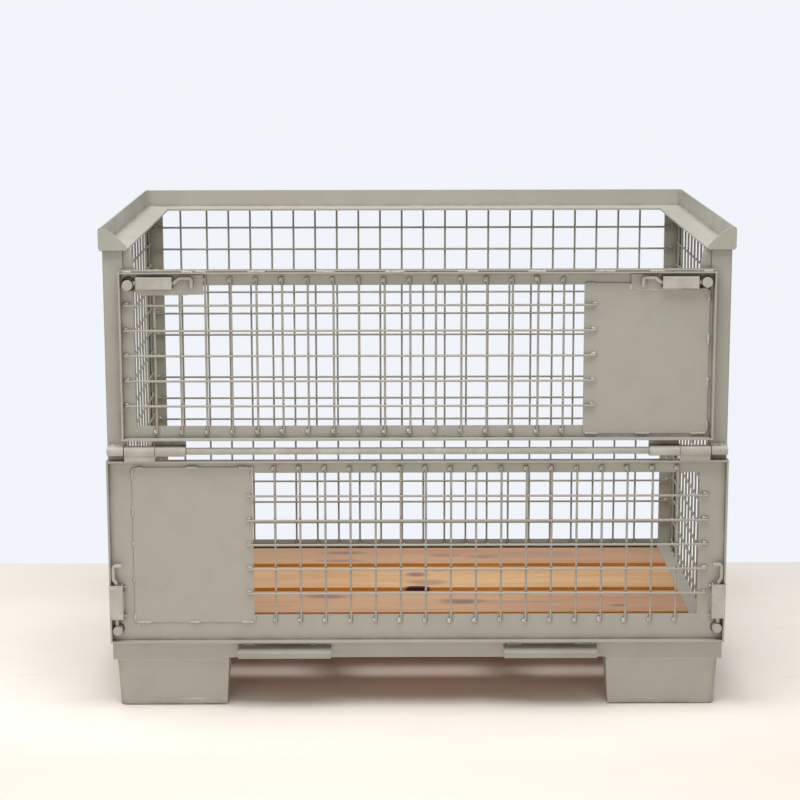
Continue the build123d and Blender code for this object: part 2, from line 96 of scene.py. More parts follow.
STONE = from_srgb(178, 175, 164)
STONE_WARM = from_srgb(177, 170, 160)
STONE_COOL = from_srgb(169, 169, 158)
STONE_PALE = from_srgb(203, 201, 192)
# painted highlight: the weld beads are lighter than the frame, as if catching the light
BEAD_TONE_LIT = from_srgb(192, 188, 178)
# painted shade: a darker tone for the fork guards, which lie in shade under the lower flap
GUARD_SHADED_TONE = from_srgb(158, 154, 144)
# painted shade: a darker tone for the back and side mesh wires, which lie in shade
WALL_WIRE_SHADED_TONE = from_srgb(146, 140, 128)
SCUFF = from_srgb(222, 220, 214)
WIRE_TONE = from_srgb(172, 167, 155)
# grime tone, also used as painted shade where corners are closed in
GRIME_AND_SHADE_TONE = from_srgb(104, 88, 66)
CHIP = from_srgb(92, 66, 48)
# painted shade: the dark put into creases, grooves and recesses that lie in shade
PAINTED_SHADE_DARK = from_srgb(62, 54, 44)
PINE = from_srgb(212, 174, 130)
PINE_LATE = from_srgb(192, 142, 96)
PINE_ROSE = from_srgb(197, 159, 126)
PINE_ROSE_LATE = from_srgb(178, 133, 104)
PINE_EDGE = from_srgb(218, 136, 44)
KNOT = from_srgb(66, 14, 20)
GREY_STAIN = from_srgb(122, 104, 104)
FLOOR_CREAM = from_srgb(250, 243, 234)
FLOOR_WARM = from_srgb(244, 234, 221)
# painted shade for the floor in front of the container
FLOOR_FRONT_SHADE = from_srgb(228, 216, 206)
FLOOR_SCUFF = from_srgb(196, 180, 168)
FLOOR_SHADE = from_srgb(214, 194, 180)
BACKDROP = from_srgb(241, 244, 250)
BLACK = (0.0, 0.0, 0.0, 1.0)


# ---- camera ---------------------------------------------------------------------------------
def make_camera():
    """The camera that the photograph was fitted to."""
    data = bpy.data.cameras.new("camera")
    data.sensor_width = CAMERA_SENSOR
    data.lens = CAMERA_LENS
    data.clip_end = 200
    camera = bpy.data.objects.new("camera", data)
    camera.location = CAMERA_PLACE
    camera.rotation_euler = Euler((math.pi / 2 - CAMERA_PITCH, CAMERA_ROLL, CAMERA_YAW), "XYZ")
    bpy.context.scene.collection.objects.link(camera)
    bpy.context.scene.camera = camera


make_camera()


# ---- node helpers ---------------------------------------------------------------------------
AO_SAMPLES = 6


def add(tree, kind, inputs=None, **settings):
    """A shader node. An input's value is a number, a colour or another node's output socket."""
    node = tree.nodes.new(kind)
    for key, value in settings.items():
        setattr(node, key, value)
    for key, value in (inputs or {}).items():
        if isinstance(value, bpy.types.NodeSocket):
            tree.links.new(value, node.inputs[key])
        else:
            node.inputs[key].default_value = value
    return node


def mix(tree, factor, a, b):
    """The colour output of a mix of a and b."""
    node = add(tree, "ShaderNodeMix", data_type="RGBA")
    for socket, value in ((node.inputs[0], factor), (node.inputs[6], a), (node.inputs[7], b)):
        if isinstance(value, bpy.types.NodeSocket):
            tree.links.new(value, socket)
        else:
            socket.default_value = value
    return node.outputs[2]


def calc(tree, operation, a, b=0.0, clamp=False):
    """The output of a math node."""
    node = add(tree, "ShaderNodeMath", operation=operation, use_clamp=clamp)
    for socket, value in ((node.inputs[0], a), (node.inputs[1], b)):
        if isinstance(value, bpy.types.NodeSocket):
            tree.links.new(value, socket)
        else:
            socket.default_value = value
    return node.outputs[0]


def span(tree, value, low, high, to_low=0.0, to_high=1.0):
    """value from low..high carried to to_low..to_high, smoothly and clamped."""
    inputs = {"Value": value, "From Min": low, "From Max": high, "To Min": to_low, "To Max": to_high}
    return add(tree, "ShaderNodeMapRange", inputs, interpolation_type="SMOOTHSTEP").outputs[0]


def noise_at(tree, vector, scale, detail=2.0, roughness=0.5):
    """The 0..1 output of a noise texture."""
    inputs = {"Vector": vector, "Scale": scale, "Detail": detail, "Roughness": roughness}
    return add(tree, "ShaderNodeTexNoise", inputs).outputs[0]


def stretched(tree, vector, scale, shift=(0.0, 0.0, 0.0)):
    """vector scaled by three factors and moved."""
    return add(tree, "ShaderNodeMapping", {"Vector": vector, "Scale": scale, "Location": shift}).outputs[0]


def axes(tree, vector):
    """The x, y and z outputs of a vector."""
    return add(tree, "ShaderNodeSeparateXYZ", {"Vector": vector}).outputs


def across(tree, a, b):
    """The length of the flat vector (a, b)."""
    return calc(tree, "SQRT", calc(tree, "ADD", calc(tree, "POWER", a, 2.0), calc(tree, "POWER", b, 2.0)))


def from_centre(tree, place, at, size):
    """0 at the middle of an ellipsoid at a point and 1 on its skin."""
    shift = tuple(-a / s for a, s in zip(at, size))
    flat = stretched(tree, place, tuple(1 / s for s in size), shift)
    return add(tree, "ShaderNodeVectorMath", {0: flat}, operation="LENGTH").outputs["Value"]


def look_up(tree):
    """The height part of the surface normal."""
    return axes(tree, add(tree, "ShaderNodeNewGeometry").outputs["Normal"])[2]


def openness(tree, reach):
    """1 in the open, and lower in corners that are closed within a reach."""
    return add(tree, "ShaderNodeAmbientOcclusion", {"Distance": reach}, samples=AO_SAMPLES).outputs["AO"]


def new_material(name):
    """A new material with its node tree, its shader and the place in the object's own frame."""
    material = bpy.data.materials.new(name)
    material.use_nodes = True
    tree = material.node_tree
    place = add(tree, "ShaderNodeTexCoord").outputs["Object"]
    return material, tree, tree.nodes["Principled BSDF"], place


# ---- materials ------------------------------------------------------------------------------
CREASE_REACH = 3.5 * MM
STUD_X = 561.5 * MM
STUD_Z = 863 * MM
STUD_SHADE = (15.0 * MM, 17.5 * MM)      # from a stud's axis: all painted shade, and none
SILL_SHADE = (126.5 * MM, 135 * MM)      # above the ground: most painted shade at the boards' tops, least here
SCRAPED = (3 * MM, 26 * MM)             # above the ground: most scrapes, and none
SPECKLE_TONE = (0.25, 0.24, 0.2, 1)


def upward(tree, place):
    """Darker, browner colour on faces that look up."""
    return span(tree, look_up(tree), 0.4, 0.95, 0.0, 0.6)


def lower_edge_shade(tree, place):
    """Painted shade, broken here and there, in the groove along the bottom of a flat bar."""
    box = add(tree, "ShaderNodeTexCoord").outputs["Generated"]
    share = axes(tree, box)[2]
    breaks = noise_at(tree, stretched(tree, place, (26.0, 26.0, 26.0)), 1.0, 2.0)
    return calc(tree, "MULTIPLY", span(tree, share, 0.4, 0.7, 0.75, 0.0), span(tree, breaks, 0.3, 0.42))


def near_ground(tree, place):
    """Pale scrapes where forks and floors have rubbed."""
    height = axes(tree, place)[2]
    scrape = noise_at(tree, stretched(tree, place, (14.0, 14.0, 190.0), (7.7, 5.4, 10.0)), 1.0, 3.0, 0.7)
    return calc(tree, "MULTIPLY", span(tree, scrape, 0.56, 0.68), span(tree, height, *SCRAPED, 0.7, 0.0))


def shade_round_studs(tree, place):
    """Painted shade in a dark ring round the root of each upper stud."""
    x, _, z = axes(tree, place)
    off_x = calc(tree, "SUBTRACT", calc(tree, "ABSOLUTE", x), STUD_X)
    off_z = calc(tree, "SUBTRACT", z, STUD_Z)
    return span(tree, across(tree, off_x, off_z), *STUD_SHADE, 0.88, 0.0)


def shade_behind_boards(tree, place):
    """Painted shade on the sill low down in the narrow gap behind the last board."""
    height = axes(tree, place)[2]
    return span(tree, height, *SILL_SHADE, 0.9, 0.2)


def make_paint(name, tone, warm, cool, rough=0.46, grime_and_shade=0.55, chips=0.8, seed=0.0, reach=0.014,
               seam=0.8, marks=()):
    """Satin machine paint over steel: cloudy tone, orange peel, dirty patches and painted shade in the
    corners, painted shade in tight creases, a few chips. reach is how far from a corner the dirty patches
    and painted shade go and seam is how dark the painted shade in tight creases is. marks are pairs of a
    function that gives a share and the colour it brings in."""
    material, tree, bsdf, place = new_material(name)
    moved = stretched(tree, place, (1.0, 1.0, 1.0), (seed, 0.7 * seed, 1.3 * seed))
    clouds = noise_at(tree, moved, 5.0, 4.0)
    patches = noise_at(tree, moved, 17.0, 3.0, 0.6)
    speckle = noise_at(tree, moved, 420.0, 2.0)
    colour = mix(tree, span(tree, clouds, 0.35, 0.68, 0.0, 0.75), tone, warm)
    colour = mix(tree, span(tree, patches, 0.45, 0.75, 0.0, 0.7), colour, cool)
    colour = mix(tree, span(tree, speckle, 0.35, 0.75, 0.0, 0.05), colour, SPECKLE_TONE)

    # dirty patches and painted shade: the colour is darkened in patches where corners are closed in
    corner = openness(tree, reach)
    dirt_and_shade = calc(tree, "MULTIPLY", span(tree, corner, 0.35, 0.9, 1.0, 0.0), span(tree, patches, 0.3, 0.62))
    colour = mix(tree, calc(tree, "MULTIPLY", dirt_and_shade, grime_and_shade), colour, GRIME_AND_SHADE_TONE)
    # painted shade: tight creases are darkened as if in deep shade
    crease = openness(tree, CREASE_REACH)
    colour = mix(tree, span(tree, crease, 0.35, 0.85, seam, 0.0), colour, PAINTED_SHADE_DARK)
    for mark, mark_colour in marks:
        colour = mix(tree, mark(tree, place), colour, mark_colour)

    cells = add(tree, "ShaderNodeTexVoronoi", {"Vector": moved, "Scale": 11.0})
    near = span(tree, cells.outputs["Distance"], 0.010, 0.020, 1.0, 0.0)
    pick = add(tree, "ShaderNodeSeparateColor", {"Color": cells.outputs["Color"]}).outputs[0]
    chip = calc(tree, "MULTIPLY", near, calc(tree, "LESS_THAN", pick, 0.3))
    colour = mix(tree, calc(tree, "MULTIPLY", chip, chips), colour, CHIP)
    tree.links.new(colour, bsdf.inputs["Base Color"])

    tree.links.new(span(tree, patches, 0.3, 0.7, rough - 0.07, rough + 0.09), bsdf.inputs["Roughness"])
    peel = calc(tree, "ADD", noise_at(tree, moved, 260.0, 2.0), calc(tree, "MULTIPLY", speckle, 0.4))
    sunk = calc(tree, "SUBTRACT", peel, calc(tree, "MULTIPLY", chip, 2.0))
    bump = add(tree, "ShaderNodeBump", {"Strength": 0.12, "Distance": 0.0006, "Height": sunk})
    tree.links.new(bump.outputs[0], bsdf.inputs["Normal"])
    bsdf.inputs["Specular IOR Level"].default_value = 0.45
    return material


RINGS_PER_METRE = 210.0


def make_wood(name, light, late, pith, wobble, knots, stains, seed):
    """Planed softwood cut from a log whose pith runs along X at (y, z) = pith."""
    material, tree, bsdf, place = new_material(name)
    x, y, z = axes(tree, place)
    slow = noise_at(tree, stretched(tree, place, (1.6, 5.0, 5.0), (seed, seed, 0)), 1.0, 2.0)
    ripple = noise_at(tree, stretched(tree, place, (7.0, 30.0, 30.0), (seed, 0, seed)), 1.0, 2.0)

    off_y = calc(tree, "ADD", calc(tree, "SUBTRACT", y, pith[0]), calc(tree, "MULTIPLY", x, wobble))
    off_z = calc(tree, "SUBTRACT", z, pith[1])
    reach = calc(tree, "ADD", across(tree, off_y, off_z), calc(tree, "MULTIPLY", slow, 0.030))
    reach = calc(tree, "ADD", reach, calc(tree, "MULTIPLY", ripple, 0.0022))

    mark = 0.0
    for at, size in knots:
        far = from_centre(tree, place, at, size)
        reach = calc(tree, "ADD", reach, span(tree, far, 0.6, 3.2, 0.012, 0.0))
        mark = calc(tree, "MAXIMUM", mark, span(tree, far, 0.75, 1.15, 1.0, 0.0))

    ring = calc(tree, "FRACT", calc(tree, "MULTIPLY", reach, RINGS_PER_METRE))
    late_share = calc(tree, "MULTIPLY", span(tree, ring, 0.45, 0.93), span(tree, ring, 0.99, 0.94))
    fibre = noise_at(tree, stretched(tree, place, (14.0, 900.0, 900.0)), 1.0, 3.0, 0.7)
    pores = noise_at(tree, stretched(tree, place, (40.0, 260.0, 260.0)), 1.0, 2.0)
    tint = noise_at(tree, stretched(tree, place, (2.2, 14.0, 14.0), (0, seed, seed)), 1.0, 3.0)

    colour = mix(tree, calc(tree, "MULTIPLY", late_share, 0.42), light, late)
    colour = mix(tree, span(tree, fibre, 0.35, 0.75, 0.0, 0.16), colour, late)
    colour = mix(tree, span(tree, tint, 0.42, 0.72, 0.0, 0.55), colour, PINE_ROSE_LATE)
    for at, size, amount in stains:
        far = from_centre(tree, place, at, size)
        far = calc(tree, "ADD", far, calc(tree, "MULTIPLY", calc(tree, "SUBTRACT", tint, 0.5), 1.6))
        colour = mix(tree, span(tree, far, 0.25, 1.05, amount, 0.0), colour, GREY_STAIN)
    colour = mix(tree, mark, colour, KNOT)

    sawn = calc(tree, "SUBTRACT", 1.0, calc(tree, "ABSOLUTE", look_up(tree)), clamp=True)
    keep = calc(tree, "SUBTRACT", 1.0, mark)
    colour = mix(tree, calc(tree, "MULTIPLY", calc(tree, "MULTIPLY", sawn, keep), 0.92), colour, PINE_EDGE)
    tree.links.new(colour, bsdf.inputs["Base Color"])

    tree.links.new(span(tree, late_share, 0.0, 1.0, 0.62, 0.48), bsdf.inputs["Roughness"])
    grain = calc(tree, "ADD", calc(tree, "MULTIPLY", fibre, 0.7), calc(tree, "MULTIPLY", pores, 0.5))
    grain = calc(tree, "ADD", grain, calc(tree, "MULTIPLY", late_share, 0.5))
    bump = add(tree, "ShaderNodeBump", {"Strength": 0.25, "Distance": 0.0008, "Height": grain})
    tree.links.new(bump.outputs[0], bsdf.inputs["Normal"])
    bsdf.inputs["Specular IOR Level"].default_value = 0.35
    return material


def paint_node(name, material):
    """The material in place of the CAD node's own."""
    mesh = NODES[name].data
    mesh.materials.clear()
    mesh.materials.append(material)


frame_paint = make_paint("frame_paint_satin", STONE, STONE_WARM, STONE_COOL)
panel_paint = make_paint("panel_paint_satin", STONE, STONE_WARM, STONE_COOL, 0.44, 0.5, 0.7, 3.1)
foot_paint = make_paint("foot_paint_satin", STONE, STONE_WARM, STONE_COOL, 0.48, 0.65, 0.9, 7.7,
                        marks=((near_ground, SCUFF),))
# the cap bar's paint carries painted shade in the groove along its bottom
cap_paint = make_paint("cap_bar_paint", STONE, STONE_WARM, STONE_COOL, 0.5, 0.6, 0.8, 9.2,
                       marks=((upward, GRIME_AND_SHADE_TONE), (lower_edge_shade, PAINTED_SHADE_DARK)))
# painted shade: strong, wide corner darkening on the hinge knuckles stands in for the shaded recess under the
# flap's flange
knuckle_paint_shaded = make_paint("knuckle_paint_shaded", STONE, STONE_WARM, STONE_PALE, 0.42, 0.95, 0.4, 6.1, reach=0.03)
wire_paint = make_paint("wire_paint", WIRE_TONE, STONE_WARM, STONE_COOL, 0.42, 0.7, 0.5, 11.0, seam=0.5)
latch_paint = make_paint("latch_paint", STONE, STONE_WARM, STONE_PALE, 0.38, 0.6, 0.6, 5.0)
# painted shade round the upper studs on the posts and stud plates
post_paint_stud_shade = make_paint("post_paint_stud_shade", STONE, STONE_WARM, STONE_COOL, marks=((shade_round_studs, PAINTED_SHADE_DARK),))
# painted shade low on the back sill, in the gap behind the boards
sill_paint_shaded = make_paint("back_sill_paint", STONE, STONE_WARM, STONE_COOL, marks=((shade_behind_boards, PAINTED_SHADE_DARK),))
# painted shade: the fork guards are painted darker than the frame
guard_paint_shaded = make_paint("fork_guard_paint", GUARD_SHADED_TONE, STONE_COOL, GUARD_SHADED_TONE, 0.5, 0.6, 0.9, 4.4)
# painted shade: the back and side meshes are painted darker than the front wires
wall_wire_paint_shaded = make_paint("wall_wire_paint_shaded", WALL_WIRE_SHADED_TONE, GUARD_SHADED_TONE, STONE_COOL, 0.44, 0.7, 0.5, 12.0)
# painted highlight: the bead paint is lighter than the frame paint
bead_paint_lit = make_paint("weld_bead_paint", BEAD_TONE_LIT, STONE_PALE, STONE, 0.48, 0.5, 0.3, 2.0, seam=0.25)

PAINTS_BY_NAME = (("foot_", foot_paint), ("upper_flap_cap_bar", cap_paint), ("front_post", post_paint_stud_shade),
                  ("stud_plates", post_paint_stud_shade), ("sill_back", sill_paint_shaded), ("fork_guard", guard_paint_shaded),
                  ("mesh_", wall_wire_paint_shaded), ("upper_flap_knuckles", knuckle_paint_shaded),
                  ("upper_flap_panel", panel_paint), ("lower_flap_panel", panel_paint))
PAINTS_BY_SLOT = (("wire_mesh", wire_paint), ("hinge_and_latch", latch_paint))


def paint_for(name):
    """The paint of a steel node, by how its name starts or else by its slot."""
    slot = NODES[name].data.materials[0].name
    for word, paints in ((name, PAINTS_BY_NAME), (slot, PAINTS_BY_SLOT)):
        for start, paint in paints:
            if word.startswith(start):
                return paint
    return frame_paint


for node_name in NODES:
    if not node_name.startswith("floor_board"):
        paint_node(node_name, paint_for(node_name))


def board_top(index, x, share, drop=0.0):
    """A point on a board's top: x, the share of its width from its front edge, and a depth."""
    low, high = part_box(f"floor_board_{index}")
    return (x, low.y + share * (high.y - low.y), high.z - drop)


FLAT = 0.04     # a stain's size in height, more than a board is thick
BOARD_LOOKS = {
    1: dict(light=PINE_ROSE, late=PINE_ROSE_LATE, pith=(0.30, 0.03), wobble=0.012, seed=1.7, knots=(),
            stains=((board_top(1, -0.162, 0.67), (0.075, 0.020, FLAT), 0.7),
                    (board_top(1, -0.170, 0.14), (0.070, 0.016, FLAT), 0.55),
                    (board_top(1, 0.070, 0.50), (0.060, 0.022, FLAT), 0.5),
                    (board_top(1, 0.155, 0.40), (0.050, 0.015, FLAT), 0.5),
                    (board_top(1, 0.26, 0.5), (0.20, 0.04, FLAT), 0.3))),
    2: dict(light=PINE, late=PINE_LATE, pith=(0.10, -0.02), wobble=-0.01, seed=4.1,
            knots=((board_top(2, 0.005, 0.0, 0.010), (0.031, 0.009, 0.019)),),
            stains=((board_top(2, 0.003, 0.60), (0.036, 0.027, FLAT), 0.85),
                    (board_top(2, 0.054, 0.84), (0.036, 0.020, FLAT), 0.75),
                    (board_top(2, 0.026, 0.20), (0.050, 0.030, FLAT), 0.5))),
    3: dict(light=PINE_ROSE, late=PINE_ROSE_LATE, pith=(-0.11, -0.01), wobble=0.008, seed=8.3, knots=(),
            stains=((board_top(3, -0.195, 0.75), (0.060, 0.024, FLAT), 0.75),
                    (board_top(3, 0.100, 0.45), (0.062, 0.024, FLAT), 0.85),
                    (board_top(3, 0.240, 0.46), (0.160, 0.014, FLAT), 0.35),
                    (board_top(3, 0.434, 0.27), (0.024, 0.012, FLAT), 0.7))),
    4: dict(light=PINE, late=PINE_LATE, pith=(-0.28, 0.00), wobble=0.01, seed=6.6,
            knots=((board_top(4, 0.21, 0.55), (0.016, 0.012, 0.03)),),
            stains=((board_top(4, -0.3, 0.4), (0.08, 0.03, FLAT), 0.5),)),
}
for board, looks in BOARD_LOOKS.items():
    paint_node(f"floor_board_{board}", make_wood(f"softwood_board_{board}", **looks))


# ---- weld beads -----------------------------------------------------------------------------
class Beads:
    """Weld beads of one group, gathered in one mesh that rides on one body."""

    def __init__(self, name, body, seed):
        self.name = name
        self.body = body
        self.mesh = bmesh.new()
        self.random = random.Random(seed)

    def blob(self, centre, radii):
        """A dab of weld metal: a lumpy ellipsoid, thinner at one end and turned a little."""
        made = bmesh.ops.create_icosphere(self.mesh, subdivisions=2, radius=1.0)
        shift = Vector([self.random.uniform(-9, 9) for _ in range(3)])
        grow = self.random.uniform(0.75, 1.15)
        thin = self.random.choice((-1, 1)) * self.random.uniform(0.15, 0.5)
        turn = Matrix.Rotation(self.random.uniform(-0.5, 0.5), 3, "Y")
        longest = radii.index(max(radii))
        for vert in made["verts"]:
            lump = 1 + 0.34 * noise.noise(1.3 * vert.co + shift) + 0.24 * noise.noise(3.3 * vert.co + shift)
            pinch = 1 + thin * vert.co[longest]
            sizes = [r if axis == longest else r * pinch for axis, r in enumerate(radii)]
            vert.co = Vector(centre) + turn @ Vector([c * r * grow * lump for c, r in zip(vert.co, sizes)])

    def run(self, start, end, out, width=4.5 * MM, height=1.8 * MM, rough=0.22):
        """A rippled bead laid along the line from start to end, bulging towards out. rough is how
        unevenly it was laid."""
        start, end, out = Vector(start), Vector(end), Vector(out).normalized()
        length = (end - start).length
        along = (end - start).normalized()
        side = out.cross(along)
        stations = max(8, round(length / STATION))
        phase = self.random.uniform(0, math.pi)
        shift = self.random.uniform(0, 50)
        rings = []
        for i in range(stations + 1):
            s = i / stations * length
            ripple = abs(math.sin(math.pi * s / RIPPLE + phase))
            close = min(1.0, (min(s, length - s) + 0.12 * width) / (0.7 * width))
            end_taper = math.sqrt(max(0.0, 1 - (1 - close) ** 2))
            uneven = 1 + rough * noise.noise(Vector((s * 160 + shift, shift, 0)))
            half = width / 2 * end_taper * (0.86 + 0.14 * ripple) * uneven
            rise = height * end_taper * (0.72 + 0.28 * ripple) * uneven
            wander = 0.55 * rough * width * noise.noise(Vector((s * 70, shift, 3)))
            centre = start + along * s + side * wander
            ring = []
            for k in range(PROFILE):
                a = math.pi * k / (PROFILE - 1)
                ring.append(centre + side * (half * math.cos(a)) + out * (rise * math.sin(a)))
            ring.append(centre - side * (half * 0.6) - out * (0.25 * height))
            ring.append(centre + side * (half * 0.6) - out * (0.25 * height))
            rings.append([self.mesh.verts.new(p) for p in ring])
        count = PROFILE + 2
        for one, two in zip(rings, rings[1:]):
            for k in range(count):
                n = (k + 1) % count
                self.mesh.faces.new((one[k], two[k], two[n], one[n]))
        self.mesh.faces.new(rings[0])
        self.mesh.faces.new(list(reversed(rings[-1])))

    def finish(self):
        """The beads as one object on its body."""
        bmesh.ops.recalc_face_normals(self.mesh, faces=self.mesh.faces)
        data = bpy.data.meshes.new(self.name)
        self.mesh.to_mesh(data)
        self.mesh.free()
        data.materials.append(bead_paint_lit)
        data.shade_smooth()
        piece = bpy.data.objects.new(self.name, data)
        bpy.context.scene.collection.objects.link(piece)
        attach(piece, self.body)


def places(first_and_count):
    """Where a row of wires stands."""
    first, count = first_and_count
    return [first + i * PITCH for i in range(count)]


def flap_wire_beads(flap, seed, wires_x, wires_z):
    """A dab beside each wire's end: left of an upright's end, above a cross wire's end."""
    beads = Beads(f"weld_beads_{flap}_wires", flap, seed)
    low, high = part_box(f"{flap}_mesh")
    for x in places(wires_x):
        for z, away in ((low.z, 1), (high.z, -1)):
            dab = Vector((x - 3.4 * MM, FLAP_WEB_Y - 1.6 * MM, z + away * beads.random.uniform(3.5, 6) * MM))
            beads.blob(dab, (3.9 * MM, 2.9 * MM, 5.6 * MM))
            beads.blob(dab + Vector((2.4 * MM, 0, -away * 3 * MM)), (3.0 * MM, 2.2 * MM, 3.2 * MM))
    for z in places(wires_z):
        for x, away in ((low.x, 1), (high.x, -1)):
            dab = Vector((x + away * beads.random.uniform(3, 5.5) * MM, FLAP_WEB_Y - 2.8 * MM, z + 2.9 * MM))
            beads.blob(dab, (6.2 * MM, 3.0 * MM, 3.3 * MM))
            beads.blob(dab + Vector((-away * 3.5 * MM, 0.2 * MM, -2.6 * MM)), (3.4 * MM, 2.4 * MM, 3.0 * MM))
    beads.finish()


flap_wire_beads("upper_flap", 11, UPPER_WIRES_X, UPPER_WIRES_Z)
flap_wire_beads("lower_flap", 12, LOWER_WIRES_X, LOWER_WIRES_Z)


def wall_wire_beads():
    """Dabs where the back and side meshes end on posts, sills and rail."""
    beads = Beads("weld_beads_wall_wires", "base", 13)
    low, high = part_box("mesh_back")
    for x in [BACK_EXTRA_X] + places(BACK_WIRES_X):
        beads.blob((x + 3 * MM, high.y - 1.5 * MM, low.z + 3.5 * MM), (3.6 * MM, 2.4 * MM, 3.4 * MM))
    for z in places(BACK_WIRES_Z):
        for x, away in ((low.x, 1), (high.x, -1)):
            beads.blob((x + away * 4 * MM, low.y + 3.5 * MM, z + 3 * MM), (5 * MM, 2.8 * MM, 3 * MM))
    for side, word in SIDES.items():
        low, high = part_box(f"mesh_{word}")
        outer = max(abs(low.x), abs(high.x))
        inner = min(abs(low.x), abs(high.x))
        for y in places(SIDE_WIRES_Y):
            for z, away in ((low.z, 1), (high.z, -1)):
                beads.blob((side * (outer - 1.5 * MM), y + 3 * MM, z + away * 3.5 * MM),
                           (2.4 * MM, 3.6 * MM, 3.4 * MM))
        for z in places(SIDE_WIRES_Z):
            for y, away in SIDE_CROSS_ENDS:
                beads.blob((side * (inner + 4.0 * MM), y + away * 4 * MM, z + 2 * MM),
                           (2.0 * MM, 4 * MM, 2.2 * MM))
    beads.finish()


wall_wire_beads()


def stitches(beads, start, end, out, spans, **size):
    """Short runs on the line from start to end. Each span is (from, to) in mm from the start."""
    start, end = Vector(start), Vector(end)
    along = (end - start).normalized()
    for a, b in spans:
        beads.run(start + along * a * MM, start + along * b * MM, out, **size)


PANEL_STITCH = {"width": 6 * MM, "height": 2.4 * MM, "rough": 0.6}


def flap_seams(prefix, seed, panel_top, left, right, bottom, top):
    """Stitch welds round the sheet panel, and welds at the frame's corners."""
    beads = Beads(f"weld_seams_{prefix}", prefix, seed)
    low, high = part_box(f"{prefix}_panel")
    y = low.y + 0.7 * MM
    left_low, right_low = (low.x, y, low.z), (high.x, y, low.z)
    left_top, right_top = (low.x, y, panel_top), (high.x, y, panel_top)
    for start, end, out, spans in ((left_low, left_top, LEFT, left), (right_low, right_top, RIGHT, right),
                                   (left_low, right_low, DOWN, bottom), (left_top, right_top, UP, top)):
        stitches(beads, start, end, FRONT + 0.4 * out, spans, **PANEL_STITCH)

    for word in SIDES.values():
        leg_low, leg_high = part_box(f"{prefix}_{word}")
        joint_x = leg_high.x if word == "left" else leg_low.x
        for bar in ("top", "bottom"):
            bar_low, bar_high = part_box(f"{prefix}_{bar}")
            z0, z1 = bar_low.z + 6 * MM, bar_high.z - 6 * MM
            middle = (z0 + z1) / 2
            for a, b in ((z0, z0 + 0.3 * (middle - z0)), (middle, middle + 0.7 * (z1 - middle))):
                beads.run((joint_x, FLAP_WEB_Y, a), (joint_x, FLAP_WEB_Y, b), FRONT, 3 * MM, 0.9 * MM)
    return beads


def knuckle_welds(beads, sleeve_x, flange_z, up):
    """Beads at both ends of each knuckle's foot on the flap's flange."""
    front, back = KNUCKLE_FOOT_Y
    for side in SIDES:
        for x in sleeve_x:
            beads.run((side * x, front, flange_z), (side * x, back, flange_z), up * UP, 3.2 * MM, 1.4 * MM)


upper_seams = flap_seams(
    "upper_flap", 21, 849.5 * MM,
    left=(), right=((4, 26), (92, 112), (176, 200), (262, 285)),
    bottom=((4, 30), (104, 132), (212, 243)), top=((122, 146), (226, 242)))
upper_seams.run((331 * MM, TONGUE_Y, TONGUE_TOP), (350 * MM, TONGUE_Y, TONGUE_TOP), FRONT + UP,
                **PANEL_STITCH)
cap_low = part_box("upper_flap_cap_bar")[0]
flange_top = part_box("upper_flap_top")[1].z
CAP_STITCHES = ((-572, -556), (-458, -436), (-433, -410), (-330, -296), (-196, -160), (-62, -24),
                (78, 118), (214, 250), (346, 384), (452, 480), (556, 574))
for a, b in CAP_STITCHES:
    upper_seams.run((a * MM, cap_low.y + 0.5 * MM, flange_top + 1.0 * MM),
                    (b * MM, cap_low.y + 0.5 * MM, flange_top + 1.0 * MM), FRONT, 3.6 * MM, 1.4 * MM, 0.6)
for word in SIDES.values():
    low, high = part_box(f"upper_latch_plate_{word}")
    upper_seams.run((low.x + 10 * MM, low.y + 1.2 * MM, low.z), (high.x - 30 * MM, low.y + 1.2 * MM, low.z),
                    FRONT + DOWN, 3.4 * MM, 1.4 * MM)
    low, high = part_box(f"upper_latch_barrel_{word}")
    for x in (low.x, high.x):
        upper_seams.run((x, high.y - 5 * MM, low.z + 1 * MM), (x, high.y - 0.5 * MM, low.z + 1 * MM),
                        DOWN, 3 * MM, 1 * MM)
    back = high.y - 0.4 * MM
    upper_seams.run((low.x + 6 * MM, back, low.z), (low.x + 30 * MM, back, low.z),
                    FRONT + DOWN, 3.4 * MM, 1.5 * MM)
    upper_seams.run((high.x - 26 * MM, back, high.z), (high.x - 4 * MM, back, high.z),
                    FRONT + UP, 3.0 * MM, 1.3 * MM)
knuckle_welds(upper_seams, (457 * MM, 517 * MM), 552.5 * MM, -1)
upper_seams.finish()

lower_seams = flap_seams(
    "lower_flap", 22, 496 * MM,
    left=((2, 20), (82, 94), (156, 166), (217, 240), (292, 316)), right=((1, 14), (300, 317)),
    bottom=((5, 33), (108, 130), (213, 239)), top=((8, 20), (106, 131), (211, 241)))
for side, word in SIDES.items():
    low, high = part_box(f"lower_latch_barrel_{word}")
    inner_x = high.x if side < 0 else low.x
    for z in (low.z + 3 * MM, high.z - 7 * MM):
        lower_seams.blob((inner_x - side * 2.2 * MM, high.y - 1.5 * MM, z), (3.6 * MM, 2.6 * MM, 4.2 * MM))
    back = high.y - 0.6 * MM
    lower_seams.run((inner_x, back, low.z + 16 * MM), (inner_x, back, high.z - 18 * MM),
                    FRONT - 0.8 * side * RIGHT, 2.8 * MM, 1.2 * MM)
knuckle_welds(lower_seams, (518 * MM, 578 * MM), 510.5 * MM, 1)
lower_seams.finish()


